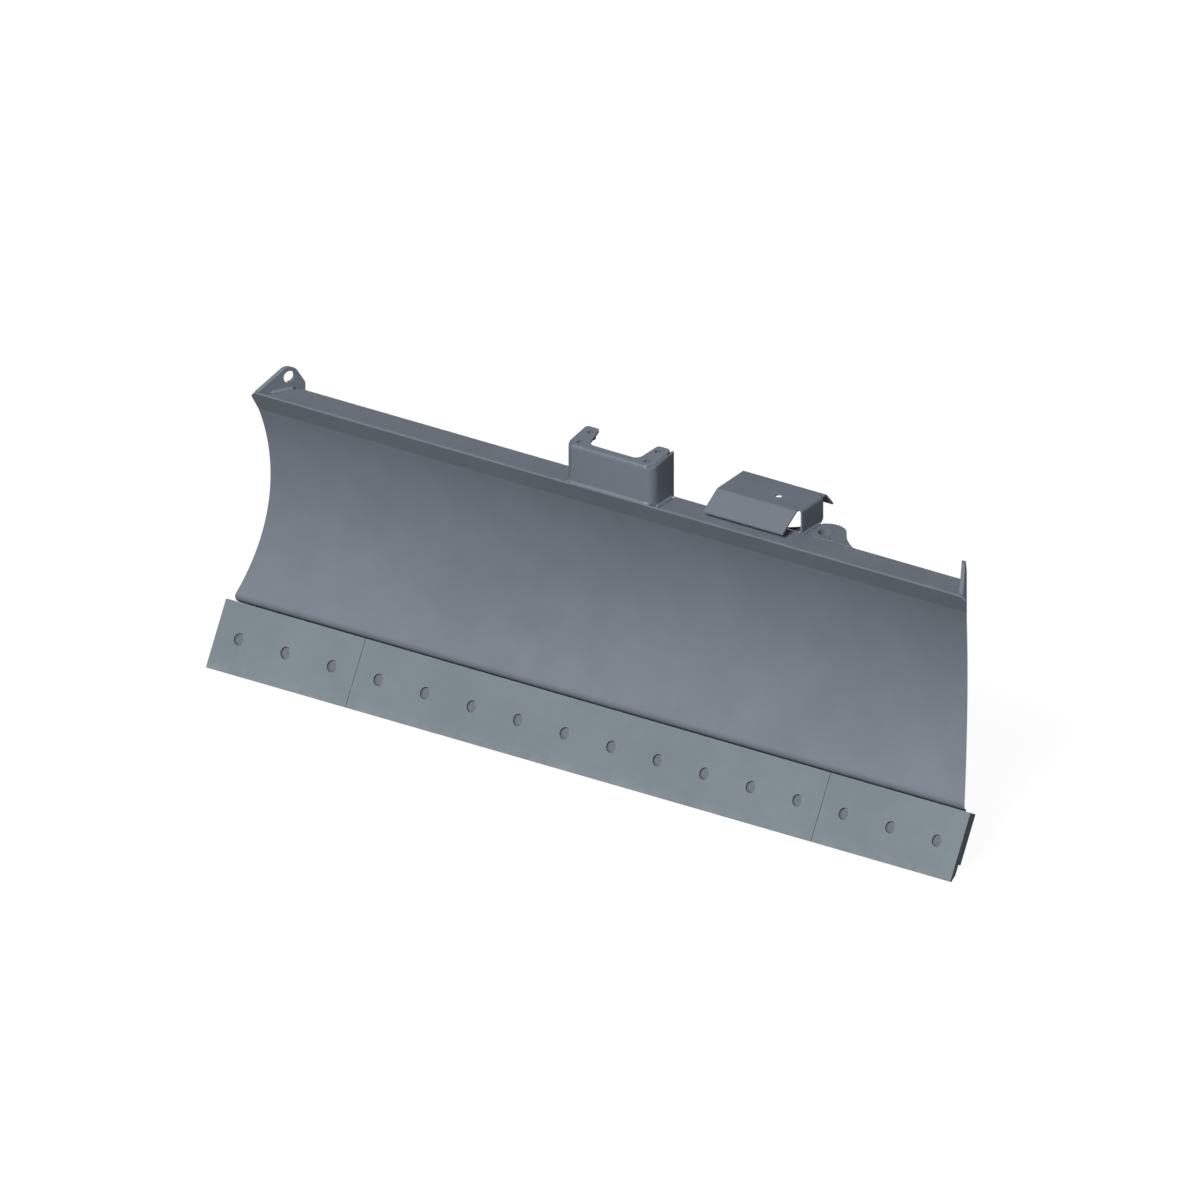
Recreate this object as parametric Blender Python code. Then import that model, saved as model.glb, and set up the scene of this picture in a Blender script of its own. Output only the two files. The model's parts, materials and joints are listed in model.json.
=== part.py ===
"""Plow blade weldment with bolt-on cutting edges, at real size.

World frame: metres, +Z up, +Y to the rear, +X along the blade. The origin is the
centre of the rear face of the pivot bushing, on the fore-and-aft pivot axis.

The shapes are drawn from the crease line, the horizontal line where the curved
face turns under. The empty "blade" carries them from there to the pivot origin.
"left" is the -X side and "right" is the +X side.
"""

import math

import bmesh
import bpy
from mathutils import Vector

# ---------------------------------------------------------------- driving sizes
GAP = 0.0003                     # clearance between touching pieces
HOLE_CLEARANCE = 0.0005          # of a bolt in its hole, on the radius

# cutting edges and the bar behind them
PITCH = 0.1143                   # between edge bolts
BOLT_COUNT = 16
END_BOLTS = 3                    # bolts in each short outer edge
EDGE_LEAN = math.radians(30.0)   # edge face from the vertical
EDGE_HEIGHT = 0.146
EDGE_THICKNESS = 0.0127
EDGE_TOP_Y = -0.0069             # top front corner of the edges
EDGE_TOP_Z = -0.0150
EDGE_SEAM = 0.0012               # gap between neighbouring edges
BEVEL_HEIGHT = 0.016
BEVEL_LAND = 0.0045
BASE_BAR_HEIGHT = 0.108
BASE_BAR_THICKNESS = 0.008

# edge bolts and nuts
BOLT_RADIUS = 0.00635
BOLT_HEAD_RADIUS = 0.0122
BOLT_HEAD_RIM = 0.002
BOLT_RECESS = 0.0032             # head below the edge face
BOLT_LENGTH = 0.0345             # head face to tip
NUT_RADIUS = 0.0108              # across the corners / 2
NUT_FLANGE_RADIUS = 0.0138
NUT_FLANGE = 0.003
NUT_HEIGHT = 0.012

# curved face
SHEET = 0.005
FACE_RADIUS = 0.500
FACE_BOTTOM_ANGLE = math.radians(-30.0)
FACE_TOP_ANGLE = math.radians(17.6)
LIP_LEAN = math.radians(23.9)
LIP_HEIGHT = 0.0459
BEND_RADIUS = 0.016
FLANGE_LENGTH = 0.036
END_SLOPE = math.tan(math.radians(30.0))   # ends toe in towards the rear
FACE_HALF_WIDTH = 0.8949         # at the crease line
FLANGE_MARGIN = 0.004            # plates behind the face stop short of its bend
LIP_START = 0.400                # height where plates behind the face begin
CORNER_CUT = 0.013

# top rail
RAIL_TOP = 0.437
RAIL_HEIGHT = 0.076
RAIL_REAR = 0.114
RAIL_WALL = 0.006
RAIL_BEND = 0.008

# end plates with their lifting eyes
END_PLATE_HALF = 0.8785          # inner plane, at the crease line
END_PLATE_THICKNESS = 0.008
EYE_Y = 0.0908
EYE_Z = 0.4658
EYE_RADIUS = 0.0124
EYE_ROUND = 0.0215
EYE_SHOULDER = math.radians(32.0)    # where the eye's round turns down to the rear
END_PLATE_REAR = 0.1226
END_PLATE_CORNER = 0.014
END_PLATE_WAIST = (0.103, 0.060)     # (y, z) of its rear edge above the foot
END_PLATE_ABOVE_RAIL = 0.006         # centre of the rear corner
END_PLATE_BELOW_RAIL = 0.012         # where the rear edge starts to slant
END_PLATE_FOOT = 0.012

# ribs
RIB_THICKNESS = 0.008
RIB_REAR = 0.112
CENTER_RIB_X = 0.100
CENTER_RIB_REAR = 0.165
LUG_RIB_X = 4.0 * PITCH
OUTER_RIB_X = 6.0 * PITCH
RIB_FLANGE_OVERLAP = 0.001
RIB_CORNER = 0.006                   # clipped at the top of the base bar
RIB_FOOT = 0.012                     # above the bottom of the base bar
PLAIN_RIB_HEEL = ((0.080, -0.010), (0.104, 0.080))
PLAIN_RIB_TAPER = 0.060              # below the rail
DEEP_RIB_TOE = (0.030, 0.020)
DEEP_RIB_RISE = 0.110

# pivot
PIVOT_Z = 0.060
PIVOT_TUBE_RADIUS = 0.045
PIVOT_TUBE_BORE = 0.0303
PIVOT_TUBE_FRONT = 0.095
PIVOT_TUBE_REAR = 0.190
PIVOT_BUSH_RADIUS = 0.030
PIVOT_BUSH_BORE = 0.0254
PIVOT_COLLAR_RADIUS = 0.040
PIVOT_COLLAR = 0.005
PIVOT_REAR_PLATE = 0.012
PIVOT_REAR_HALF = 0.120
PIVOT_FRONT_PLATE = 0.010
PIVOT_FRONT_INSET = 0.005            # the tube stands out of the front plate
PIVOT_PLATE_CLEARANCE = 0.001        # of the tube in its plates, on the radius
PIVOT_PLATE_LOW = -0.025
PIVOT_PLATE_HIGH = 0.145
GREASE_Y = 0.140
GREASE_PROFILE = (                   # (radius, height over the tube)
    (0.0055, 0.000),
    (0.0055, 0.005),
    (0.0033, 0.006),
    (0.0033, 0.010),
    (0.0040, 0.012),
    (0.0026, 0.014),
)

# mast bracket on the rail
BRACKET_HALF = 0.108
BRACKET_FRONT = 0.0288
BRACKET_REAR = 0.1075
BRACKET_WALL = 0.006
BRACKET_BEND = 0.022
BRACKET_TOP = 0.5234             # wall top at its front
BRACKET_SLOPE = math.tan(math.radians(10.0))
BRACKET_NOTCH_TOP = 0.4460
BRACKET_NOTCH_REAR = 0.0365
TOP_PLATE = 0.005
TOP_PLATE_INSET = 0.004
TOP_PLATE_HOLE_X = 0.0825
TOP_PLATE_HOLES_Y = (0.0486, 0.0872)
TOP_PLATE_HOLE_RADIUS = 0.0065
TOP_PLATE_SET_BACK = 0.002           # its front behind its sides' inset
TOP_PLATE_CORNER = 0.011             # clipped front corners
FORK_CROTCH_Y = 0.0475
FORK_CROTCH_RADIUS = 0.017
FORK_ARM_X = (0.0640, 0.0700)        # inner side of an arm, at its root and its tip
FORK_TIP_RADIUS = 0.008
MAST_NUT_RADIUS = 0.0108             # across the corners / 2
MAST_NUT_BORE = 0.0052
MAST_NUT_HEIGHT = 0.010

# cylinder lugs
LUG_X = 0.4496
LUG_Y = 0.153
LUG_TOP = 0.429
LUG_THICKNESS = 0.016
LUG_OPENING = 0.034
LUG_NOSE = 0.0425
LUG_FLARE = 0.140
LUG_JOIN = math.radians(30.0)    # where the nose meets the flare
LUG_FLARE_TURN = math.radians(35.0)
LUG_BORE = 0.0159
LUG_SMALL_HOLE = (0.4770, 0.1346)
LUG_SMALL_RADIUS = 0.005

# cylinder guard
GUARD_SHEET = 0.004
GUARD_LEFT = 0.2137
GUARD_RIGHT = 0.4170
GUARD_BEND = 0.008
GUARD_PROFILE = ((0.0578, 0.4520), (0.1074, 0.4834), (0.2027, 0.4867), (0.2289, 0.4565))
GUARD_FOOT_FRONT = 0.1155
GUARD_FOOT_REAR = 0.1920
GUARD_FOOT_CUT = 0.007
GUARD_RELIEF = 0.003
GUARD_HOLE = (0.3390, 0.1462)
GUARD_HOLE_RADIUS = 0.0075

# facets
ROUND = 24                       # round a bolt, a bore or a nose
SMALL_ROUND = 12
FACE_STEPS = 24
BACK_STEPS = 18                  # down the edge of a plate behind the face
BEND_STEPS = 5
EYE_STEPS = 6
LUG_STEPS = 6

CUTTER_REACH = 0.05

# -------------------------------------------------------------------- materials
PAINT = (0.155, 0.175, 0.195, 1.0)
EDGE_STEEL = (0.190, 0.215, 0.225, 1.0)
FASTENER = (0.170, 0.180, 0.195, 1.0)
BRONZE = (0.420, 0.300, 0.160, 1.0)


def clear_scene():
    for item in list(bpy.data.objects):
        bpy.data.objects.remove(item, do_unlink=True)


def make_material(name, colour, roughness, metallic):
    material = bpy.data.materials.new(name)
    material.use_nodes = True
    shader = material.node_tree.nodes["Principled BSDF"]
    shader.inputs["Base Color"].default_value = colour
    shader.inputs["Roughness"].default_value = roughness
    shader.inputs["Metallic"].default_value = metallic
    return material


# ------------------------------------------------------------- building helpers
def loft(first, last):
    """Closed solid between two outlines that have the same number of points."""
    mesh = bmesh.new()
    low = [mesh.verts.new(point) for point in first]
    high = [mesh.verts.new(point) for point in last]
    count = len(low)
    for index in range(count):
        following = (index + 1) % count
        mesh.faces.new((low[index], low[following], high[following], high[index]))
    mesh.faces.new(reversed(low))
    mesh.faces.new(high)
    bmesh.ops.recalc_face_normals(mesh, faces=mesh.faces)
    return mesh


def skin_between(mesh, loops):
    """Quads between each loop of points and the next; equal points make triangles."""
    for one, two in zip(loops, loops[1:]):
        for step in range(len(one)):
            following = (step + 1) % len(one)
            corners = [one[step], one[following], two[following], two[step]]
            mesh.faces.new(list(dict.fromkeys(corners)))


def turned(rings, origin, axis, segments):
    """Closed solid turned about an axis from a closed or axis-to-axis profile.

    Each ring is (radius, distance along the axis). A profile whose first and last
    radius are zero is solid; any other profile closes on itself as a tube.
    """
    axis = Vector(axis).normalized()
    side = axis.orthogonal().normalized()
    other = axis.cross(side)
    mesh = bmesh.new()
    solid = rings[0][0] == 0.0
    loops = []
    for radius, distance in rings:
        centre = Vector(origin) + axis * distance
        if radius == 0.0:
            loops.append([mesh.verts.new(centre)] * segments)
            continue
        loop = []
        for step in range(segments):
            angle = 2.0 * math.pi * step / segments
            offset = side * math.cos(angle) + other * math.sin(angle)
            loop.append(mesh.verts.new(centre + offset * radius))
        loops.append(loop)
    skin_between(mesh, loops if solid else loops + loops[:1])
    bmesh.ops.recalc_face_normals(mesh, faces=mesh.faces)
    return mesh


def rod(start, end, radius, segments=ROUND):
    """Plain round bar from one point to another."""
    start = Vector(start)
    length = (Vector(end) - start).length
    rings = [(0.0, 0.0), (radius, 0.0), (radius, length), (0.0, length)]
    return turned(rings, start, Vector(end) - start, segments)


def arc(centre, radius, first, last, steps):
    """Points and outward normals along an arc in a plane, angles in radians."""
    path = []
    for step in range(steps + 1):
        angle = first + (last - first) * step / steps
        normal = Vector((math.cos(angle), math.sin(angle)))
        path.append((Vector(centre) + normal * radius, normal))
    return path


def rounded_path(points, radius):
    """A polyline with its inner corners rounded, as (point, left normal) pairs."""
    points = [Vector(point) for point in points]
    path = []
    for index, point in enumerate(points):
        before = (point - points[index - 1]).normalized() if index else None
        after = (points[index + 1] - point).normalized() if index + 1 < len(points) else None
        if before is None or after is None:
            heading = after or before
            path.append((point, Vector((-heading.y, heading.x))))
            continue
        turn = math.atan2(before.x * after.y - before.y * after.x, before.dot(after))
        reach = radius * math.tan(abs(turn) / 2.0)
        start = point - before * reach
        side = math.copysign(1.0, turn)
        centre = start + Vector((-before.y, before.x)) * side * radius
        for step in range(BEND_STEPS + 1):
            angle = turn * step / BEND_STEPS
            spoke = (start - centre).normalized()
            cosine = math.cos(angle)
            sine = math.sin(angle)
            turned_spoke = Vector((
                spoke.x * cosine - spoke.y * sine,
                spoke.x * sine + spoke.y * cosine,
            ))
            path.append((centre + turned_spoke * radius, turned_spoke * -side))
    return path


def sheet_outline(path, thickness):
    """Closed outline of a sheet: the path, and the path moved along its normals."""
    near = [point for point, normal in path]
    far = [point + normal * thickness for point, normal in path]
    return near + far[::-1]


def across(outline, left, right, slope=0.0, mirror=False):
    """Solid along X from a (y, z) outline, between two planes that may slant."""
    sign = -1.0 if mirror else 1.0
    first = [Vector((sign * (left - slope * y), y, z)) for y, z in outline]
    last = [Vector((sign * (right - slope * y), y, z)) for y, z in outline]
    return loft(first, last)


def toed_in(outline, half_width):
    """Solid along X whose two ends toe in towards the rear."""
    first = [Vector((END_SLOPE * y - half_width, y, z)) for y, z in outline]
    last = [Vector((half_width - END_SLOPE * y, y, z)) for y, z in outline]
    return loft(first, last)


def upright(outline, low, high, slope=0.0, slope_low=0.0):
    """Solid along Z from an (x, y) outline; top and bottom may climb to the rear."""
    first = [Vector((x, y, low + slope_low * (y - BRACKET_FRONT))) for x, y in outline]
    last = [Vector((x, y, high + slope * (y - BRACKET_FRONT))) for x, y in outline]
    return loft(first, last)


def on_edge(along, depth):
    """(y, z) of a point given down the edge face and back into its thickness."""
    y = EDGE_TOP_Y - math.sin(EDGE_LEAN) * along + math.cos(EDGE_LEAN) * depth
    z = EDGE_TOP_Z - math.cos(EDGE_LEAN) * along - math.sin(EDGE_LEAN) * depth
    return Vector((y, z))


def add(name, mesh, material, blade, smooth=None):
    """Turn a bmesh into a named object under the blade."""
    data = bpy.data.meshes.new(name)
    mesh.to_mesh(data)
    mesh.free()
    data.materials.append(material)
    if smooth is not None:
        data.shade_smooth()
        data.set_sharp_from_angle(angle=math.radians(smooth))
    item = bpy.data.objects.new(name, data)
    bpy.context.collection.objects.link(item)
    item.parent = blade
    return item


def combine(item, mesh, blade, operation):
    """Cut a shape out of an object, or join one to it, with a Boolean."""
    data = bpy.data.meshes.new(item.name + "_tool")
    mesh.to_mesh(data)
    mesh.free()
    tool = bpy.data.objects.new(item.name + "_tool", data)
    bpy.context.collection.objects.link(tool)
    tool.parent = blade
    tool.hide_render = True
    tool.display_type = "WIRE"
    modifier = item.modifiers.new("boolean", "BOOLEAN")
    modifier.operation = operation
    modifier.solver = "EXACT"
    modifier.object = tool


def merge(meshes):
    """Several separate shapes in one mesh, to be used as one cutter."""
    whole = bmesh.new()
    for mesh in meshes:
        data = bpy.data.meshes.new("scratch")
        mesh.to_mesh(data)
        mesh.free()
        whole.from_mesh(data)
        bpy.data.meshes.remove(data)
    return whole


# ------------------------------------------------------------ edges and fasteners
def bolt_positions():
    middle = (BOLT_COUNT - 1) / 2.0
    return [(index - middle) * PITCH for index in range(BOLT_COUNT)]


def edge_axis(x, depth):
    """A point on a bolt's axis at a depth behind the edge face."""
    y, z = on_edge(EDGE_HEIGHT / 2.0, depth)
    return Vector((x, y, z))


EDGE_INWARD = Vector((0.0, math.cos(EDGE_LEAN), -math.sin(EDGE_LEAN)))


def bolt_hole(x):
    """Countersunk hole for one edge bolt, with its straight recess at the face."""
    rim = BOLT_HEAD_RADIUS + HOLE_CLEARANCE
    shank = BOLT_RADIUS + HOLE_CLEARANCE
    recess = BOLT_RECESS + BOLT_HEAD_RIM + GAP
    rings = [
        (0.0, -CUTTER_REACH),
        (rim, -CUTTER_REACH),
        (rim, recess),
        (shank, recess + rim - shank),
        (shank, CUTTER_REACH),
        (0.0, CUTTER_REACH),
    ]
    return turned(rings, edge_axis(x, 0.0), EDGE_INWARD, ROUND)


def make_edges(steel, blade):
    outline = [
        on_edge(0.0, 0.0),
        on_edge(EDGE_HEIGHT, 0.0),
        on_edge(EDGE_HEIGHT, BEVEL_LAND),
        on_edge(EDGE_HEIGHT - BEVEL_HEIGHT, EDGE_THICKNESS),
        on_edge(0.0, EDGE_THICKNESS),
    ]
    half = BOLT_COUNT * PITCH / 2.0
    seam = half - END_BOLTS * PITCH
    half_seam = EDGE_SEAM / 2.0
    spans = {
        "cutting_edge_left": (-half, -seam - half_seam),
        "cutting_edge_center": (-seam + half_seam, seam - half_seam),
        "cutting_edge_right": (seam + half_seam, half),
    }
    for name, (low, high) in spans.items():
        edge = add(name, across(outline, low, high), steel, blade)
        holes = [bolt_hole(x) for x in bolt_positions() if low < x < high]
        combine(edge, merge(holes), blade, "DIFFERENCE")


def make_base_bar(paint, blade):
    front = EDGE_THICKNESS + GAP
    back = front + BASE_BAR_THICKNESS
    outline = [
        on_edge(0.0, front),
        on_edge(BASE_BAR_HEIGHT, front),
        on_edge(BASE_BAR_HEIGHT, back),
        on_edge(0.0, back),
    ]
    half = BOLT_COUNT * PITCH / 2.0
    bar = add("base_bar", across(outline, -half, half), paint, blade)
    holes = []
    for x in bolt_positions():
        start = edge_axis(x, 0.0)
        end = edge_axis(x, CUTTER_REACH)
        holes.append(rod(start, end, BOLT_RADIUS + HOLE_CLEARANCE))
    combine(bar, merge(holes), blade, "DIFFERENCE")


def make_bolt(x):
    """Plow bolt: flat head, countersunk under it, and a plain shank."""
    cone = BOLT_HEAD_RADIUS - BOLT_RADIUS
    rings = [
        (0.0, 0.0),
        (BOLT_HEAD_RADIUS, 0.0),
        (BOLT_HEAD_RADIUS, BOLT_HEAD_RIM),
        (BOLT_RADIUS, BOLT_HEAD_RIM + cone),
        (BOLT_RADIUS, BOLT_LENGTH),
        (0.0, BOLT_LENGTH),
    ]
    return turned(rings, edge_axis(x, BOLT_RECESS), EDGE_INWARD, ROUND)


def hex_nut(origin, axis, side, radius, bore, height, flange=None):
    """Bored hexagon nut standing on its origin, with or without a round flange."""
    axis = Vector(axis).normalized()
    other = axis.cross(side)
    flats = radius * math.cos(math.pi / 6.0)
    hexagon = [radius if step % 2 == 0 else flats for step in range(SMALL_ROUND)]
    rings = [([bore] * SMALL_ROUND, 0.0)]
    if flange is None:
        rings.append((hexagon, 0.0))
    else:
        flange_radius, flange_height = flange
        rings.append(([flange_radius] * SMALL_ROUND, 0.0))
        rings.append(([flange_radius] * SMALL_ROUND, flange_height / 2.0))
        rings.append((hexagon, flange_height))
    rings.append((hexagon, height))
    rings.append(([bore] * SMALL_ROUND, height))
    mesh = bmesh.new()
    loops = []
    for radii, distance in rings:
        loop = []
        for step, reach in enumerate(radii):
            angle = 2.0 * math.pi * step / SMALL_ROUND
            offset = side * math.cos(angle) + other * math.sin(angle)
            loop.append(mesh.verts.new(origin + axis * distance + offset * reach))
        loops.append(loop)
    skin_between(mesh, loops + loops[:1])
    bmesh.ops.recalc_face_normals(mesh, faces=mesh.faces)
    return mesh


def make_nut(x):
    """Flange nut on an edge bolt, bored clear of it."""
    seat = EDGE_THICKNESS + BASE_BAR_THICKNESS + 2.0 * GAP
    side = Vector((1.0, 0.0, 0.0))
    bore = BOLT_RADIUS + HOLE_CLEARANCE
    flange = (NUT_FLANGE_RADIUS, NUT_FLANGE)
    return hex_nut(edge_axis(x, seat), EDGE_INWARD, side, NUT_RADIUS, bore, NUT_HEIGHT, flange)


def make_fasteners(steel, blade):
    for number, x in enumerate(bolt_positions(), start=1):
        add(f"edge_bolt_{number:02d}", make_bolt(x), steel, blade, smooth=35.0)
        add(f"edge_nut_{number:02d}", make_nut(x), steel, blade)


# ------------------------------------------------------------------- curved face
def face_centre():
    y = -FACE_RADIUS * math.cos(FACE_BOTTOM_ANGLE)
    z = -FACE_RADIUS * math.sin(FACE_BOTTOM_ANGLE)
    return Vector((y, z))


def face_back(height):
    """Y of the curved face's back surface at a height."""
    centre = face_centre()
    radius = FACE_RADIUS + SHEET
    return centre.x + math.sqrt(radius ** 2 - (height - centre.y) ** 2)


def lip_points():
    """Front of the flat lip, from its top down to where the curve begins."""
    centre = face_centre()
    spoke = Vector((math.cos(FACE_TOP_ANGLE), math.sin(FACE_TOP_ANGLE)))
    low = centre + spoke * FACE_RADIUS
    high = low + Vector((-math.sin(LIP_LEAN), math.cos(LIP_LEAN))) * LIP_HEIGHT
    return high, low


def lip_back(height):
    """Y of the lip's back surface at a height."""
    high, low = lip_points()
    normal = Vector((math.cos(LIP_LEAN), math.sin(LIP_LEAN)))
    corner = high + normal * SHEET
    return corner.x + (corner.y - height) * math.tan(LIP_LEAN)


def face_path():
    """Front surface of the face, with normals to the rear, from lip to flange."""
    high, low = lip_points()
    lip_normal = Vector((math.cos(LIP_LEAN), math.sin(LIP_LEAN)))
    path = [(high, lip_normal)]
    path += arc(face_centre(), FACE_RADIUS, FACE_TOP_ANGLE, FACE_BOTTOM_ANGLE, FACE_STEPS)
    spoke = Vector((math.cos(FACE_BOTTOM_ANGLE), math.sin(FACE_BOTTOM_ANGLE)))
    centre = spoke * BEND_RADIUS
    turn_end = FACE_BOTTOM_ANGLE + math.pi / 2.0
    for step in range(1, BEND_STEPS + 2):
        angle = FACE_BOTTOM_ANGLE + (turn_end - FACE_BOTTOM_ANGLE) * step / (BEND_STEPS + 1)
        normal = Vector((math.cos(angle), math.sin(angle)))
        path.append((centre - normal * BEND_RADIUS, normal))
    corner, normal = path[-1]
    heading = Vector((math.sin(turn_end), -math.cos(turn_end)))
    path.append((corner + heading * FLANGE_LENGTH, normal))
    return path


def corner_cutter(sign):
    """Wedge that clips one top corner of the face."""
    high, low = lip_points()
    up = (high - low).normalized()
    normal = Vector((math.cos(LIP_LEAN), math.sin(LIP_LEAN)))
    tip = FACE_HALF_WIDTH - END_SLOPE * high.x
    inner = Vector((tip - CORNER_CUT, 0.0))
    outer = Vector((tip, -CORNER_CUT))
    reach = outer - inner
    triangle = [inner - reach, outer + reach, Vector((tip + CORNER_CUT, CORNER_CUT))]
    sides = []
    for depth in (-CUTTER_REACH, CUTTER_REACH):
        ring = []
        for x, climb in triangle:
            y, z = high + up * climb + normal * depth
            ring.append(Vector((sign * x, y, z)))
        sides.append(ring)
    return loft(*sides)


def make_face(paint, blade):
    outline = sheet_outline(face_path(), SHEET)
    face = add("moldboard", toed_in(outline, FACE_HALF_WIDTH), paint, blade, smooth=20.0)
    combine(face, merge([corner_cutter(-1.0), corner_cutter(1.0)]), blade, "DIFFERENCE")


# ----------------------------------------------------------- rail and end plates
def make_rail(paint, blade):
    """Formed channel that the face closes into a box beam."""
    low = RAIL_TOP - RAIL_HEIGHT
    front_top = lip_back(RAIL_TOP) + GAP
    front_low = face_back(low) + GAP
    path = rounded_path(
        [(front_low, low), (RAIL_REAR, low), (RAIL_REAR, RAIL_TOP), (front_top, RAIL_TOP)],
        RAIL_BEND,
    )
    outline = sheet_outline(path, RAIL_WALL)
    count = len(path)
    outline[count] = Vector((lip_back(RAIL_TOP - RAIL_WALL) + GAP, RAIL_TOP - RAIL_WALL))
    outline[-1] = Vector((face_back(low + RAIL_WALL) + 2.0 * GAP, low + RAIL_WALL))
    rail = toed_in(outline, END_PLATE_HALF - 2.0 * GAP)
    add("top_rail", rail, paint, blade, smooth=25.0)


def flange_point(along, height):
    """(y, z) by distance back from the edge face and up from the flange's underside."""
    corner = face_path()[-1][0]
    heading = Vector((math.cos(EDGE_LEAN), -math.sin(EDGE_LEAN)))
    up = Vector((math.sin(EDGE_LEAN), math.cos(EDGE_LEAN)))
    return corner + heading * along + up * height


def back_edge(top, bottom, steps):
    """Points just behind the curved face, from a height down to a lower one."""
    points = []
    for step in range(steps + 1):
        height = top + (bottom - top) * step / steps
        points.append(Vector((face_back(height) + GAP * 2.0, height)))
    return points


def end_plate_outline():
    """Plate behind the face's end, with the lifting eye as its top.

    The round parts are drawn in the plate's own plane, so their Y is shortened.
    """
    shorten = math.cos(math.atan(END_SLOPE))
    lip_high = lip_points()[0]
    front = Vector((lip_back(lip_high.y) + 2.0 * GAP, lip_high.y + SHEET * math.sin(LIP_LEAN)))
    eye = Vector((EYE_Y / shorten, EYE_Z))
    start = Vector((front.x / shorten, front.y))
    toward = eye - start
    swing = math.asin(EYE_ROUND / toward.length)
    first = math.atan2(toward.y, toward.x) + swing + math.pi / 2.0
    rear = END_PLATE_REAR / shorten
    shoulder = Vector((rear - END_PLATE_CORNER, RAIL_TOP + END_PLATE_ABOVE_RAIL))
    rounds = arc(eye, EYE_ROUND, first, EYE_SHOULDER, 2 * EYE_STEPS)
    rounds += arc(shoulder, END_PLATE_CORNER, EYE_SHOULDER, 0.0, EYE_STEPS)
    outline = [front]
    outline += [Vector((point.x * shorten, point.y)) for point, normal in rounds]
    foot = flange_point(-FLANGE_MARGIN, SHEET + GAP)
    outline += [
        Vector((END_PLATE_REAR, RAIL_TOP - RAIL_HEIGHT - END_PLATE_BELOW_RAIL)),
        Vector(END_PLATE_WAIST),
        Vector((foot.x + END_PLATE_FOOT, 0.0)),
        foot,
        flange_point(FLANGE_MARGIN - FLANGE_LENGTH, SHEET + GAP),
    ]
    outline += back_edge(LIP_START, FLANGE_MARGIN, BACK_STEPS)[::-1]
    return outline


def make_end_plates(paint, blade):
    outline = end_plate_outline()
    tilt = math.atan(END_SLOPE)
    run = END_PLATE_THICKNESS / math.cos(tilt)
    for name, sign in (("end_plate_left", -1.0), ("end_plate_right", 1.0)):
        low = END_PLATE_HALF
        plate = across(outline, low, low + run, END_SLOPE, mirror=sign < 0.0)
        item = add(name, plate, paint, blade)
        centre = Vector((sign * (low - END_SLOPE * EYE_Y), EYE_Y, EYE_Z))
        normal = Vector((sign * math.cos(tilt), math.sin(tilt), 0.0))
        hole = rod(centre - normal * CUTTER_REACH, centre + normal * CUTTER_REACH, EYE_RADIUS)
        combine(item, hole, blade, "DIFFERENCE")


# -------------------------------------------------------------------------- ribs
def rib_outline(rear):
    """Rib that fills in behind the face and is slotted over its lower flange."""
    low = RAIL_TOP - RAIL_HEIGHT
    back = EDGE_THICKNESS + BASE_BAR_THICKNESS + 2.0 * GAP
    foot = BASE_BAR_HEIGHT - RIB_FOOT
    outline = back_edge(low - GAP, FLANGE_MARGIN, BACK_STEPS)
    outline += [
        flange_point(FLANGE_MARGIN - FLANGE_LENGTH, SHEET + GAP),
        flange_point(RIB_FLANGE_OVERLAP, SHEET + GAP),
        flange_point(RIB_FLANGE_OVERLAP, -GAP),
        on_edge(GAP, back + RIB_CORNER),
        on_edge(RIB_CORNER, back),
        on_edge(foot, back),
        on_edge(foot, back + RIB_FOOT),
    ]
    outline += rear
    return outline


def make_ribs(paint, blade):
    low = RAIL_TOP - RAIL_HEIGHT
    plain = [
        Vector(PLAIN_RIB_HEEL[0]),
        Vector(PLAIN_RIB_HEEL[1]),
        Vector((RIB_REAR, low - PLAIN_RIB_TAPER)),
        Vector((RIB_REAR, low - GAP)),
    ]
    deep = [
        Vector((CENTER_RIB_REAR - DEEP_RIB_TOE[0], PIVOT_PLATE_LOW - DEEP_RIB_TOE[1])),
        Vector((CENTER_RIB_REAR, PIVOT_PLATE_LOW)),
        Vector((CENTER_RIB_REAR, PIVOT_PLATE_HIGH)),
        Vector((RIB_REAR, PIVOT_PLATE_HIGH + DEEP_RIB_RISE)),
        Vector((RIB_REAR, low - GAP)),
    ]
    places = {
        "center": (CENTER_RIB_X, deep),
        "lug": (LUG_RIB_X, plain),
        "outer": (OUTER_RIB_X, plain),
    }
    half = RIB_THICKNESS / 2.0
    for place, (x, rear) in places.items():
        outline = rib_outline(rear)
        for side, sign in (("left", -1.0), ("right", 1.0)):
            rib = across(outline, sign * x - half, sign * x + half)
            add(f"{place}_rib_{side}", rib, paint, blade)


# ------------------------------------------------------------------------- pivot
def plate_with_bore(name, half, front, thickness, paint, blade):
    outline = [
        Vector((front, PIVOT_PLATE_LOW)),
        Vector((front + thickness, PIVOT_PLATE_LOW)),
        Vector((front + thickness, PIVOT_PLATE_HIGH)),
        Vector((front, PIVOT_PLATE_HIGH)),
    ]
    plate = add(name, across(outline, -half, half), paint, blade)
    start = Vector((0.0, front - CUTTER_REACH, PIVOT_Z))
    end = Vector((0.0, front + thickness + CUTTER_REACH, PIVOT_Z))
    bore = rod(start, end, PIVOT_TUBE_RADIUS + PIVOT_PLATE_CLEARANCE, 2 * ROUND)
    combine(plate, bore, blade, "DIFFERENCE")


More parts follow.
